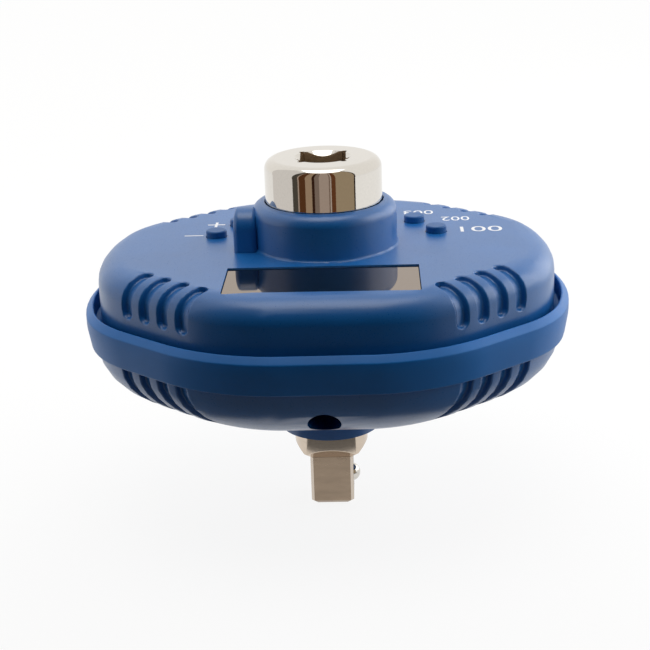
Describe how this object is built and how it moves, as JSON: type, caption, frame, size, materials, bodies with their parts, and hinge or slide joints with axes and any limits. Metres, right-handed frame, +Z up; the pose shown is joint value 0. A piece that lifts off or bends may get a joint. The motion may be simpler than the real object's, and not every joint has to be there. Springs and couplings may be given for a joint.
{
  "type": "torque angle gauge",
  "caption": "Torque angle gauge: a square drive spindle turns in a soft octagonal blue housing with a display window, push buttons, corner grips and a band round its seam.",
  "frame": {"origin": "centre of the male square's end face", "axes": "+Z up the spindle from the male square to the female square; the display faces -Y and the detent ball +X"},
  "size_m": [0.1384, 0.1164, 0.1049],
  "materials": {
    "spindle_metal": "bright plated head, satin shank",
    "bronze": "turned bronze",
    "dark_steel": "black oxide",
    "steel": "zinc plated",
    "ball_steel": "polished ball",
    "blue_plastic": "fine satin moulding",
    "button_plastic": "satin cap",
    "window": "glossy tinted window",
    "lcd": "display glass",
    "white_plastic": "moulded frame",
    "zebra_rubber": "striped contact rubber",
    "board": "green solder mask",
    "black_plastic": "moulded black",
    "cell": "printed steel can",
    "contact_brass": "spring leaf"
  },
  "bodies": {
    "spindle": {"drive_spindle": "spindle_metal", "thrust_washer": "bronze", "retaining_ring": "dark_steel", "encoder_disc": "black_plastic", "encoder_grub_screw": "dark_steel", "detent_spring": "steel"},
    "ball": {"detent_ball": "ball_steel"},
    "housing": {"upper_housing": "blue_plastic", "lower_housing": "blue_plastic", "bumper_band": "blue_plastic", "display_window": "window", "lcd_panel": "lcd", "lcd_frame": "white_plastic", "zebra_strips": "zebra_rubber", "main_board": "board", "microcontroller": "black_plastic", "tact_switches": "black_plastic", "buzzer": "black_plastic", "angle_sensor": "black_plastic", "board_screws": "steel", "upper_bush": "bronze", "lower_bush": "bronze", "battery_cover": "blue_plastic", "battery_cover_screw": "steel", "batteries": "cell", "battery_contacts": "contact_brass", "case_screws": "steel"},
    "minus_key": {"minus_button": "button_plastic"},
    "plus_key": {"plus_button": "button_plastic"},
    "memory_key": {"memory_button": "button_plastic"},
    "mode_key": {"mode_button": "button_plastic"},
    "unit_key": {"unit_button": "button_plastic"}
  },
  "joints": [
    {"name": "housing_spin", "type": "hinge", "parent": "spindle", "child": "housing", "pos_m": [0, 0, 0.06], "axis": [0, 0, 1], "continuous": true},
    {"name": "ball_press", "type": "slide", "parent": "spindle", "child": "ball", "axis": [-1, 0, 0], "range_m": [0, 0.0019], "stiffness_N_per_m": 200, "deforming": ["detent_spring"]},
    {"name": "minus_key_press", "type": "slide", "parent": "housing", "child": "minus_key", "axis": [0, 0, -1], "range_m": [0, 0.0006], "stiffness_N_per_m": 150},
    {"name": "plus_key_press", "type": "slide", "parent": "housing", "child": "plus_key", "axis": [0, 0, -1], "range_m": [0, 0.0006], "stiffness_N_per_m": 150},
    {"name": "memory_key_press", "type": "slide", "parent": "housing", "child": "memory_key", "axis": [0, 0, -1], "range_m": [0, 0.0006], "stiffness_N_per_m": 150},
    {"name": "mode_key_press", "type": "slide", "parent": "housing", "child": "mode_key", "axis": [0, 0, -1], "range_m": [0, 0.0006], "stiffness_N_per_m": 150},
    {"name": "unit_key_press", "type": "slide", "parent": "housing", "child": "unit_key", "axis": [0, 0, -1], "range_m": [0, 0.0006], "stiffness_N_per_m": 150}
  ]
}
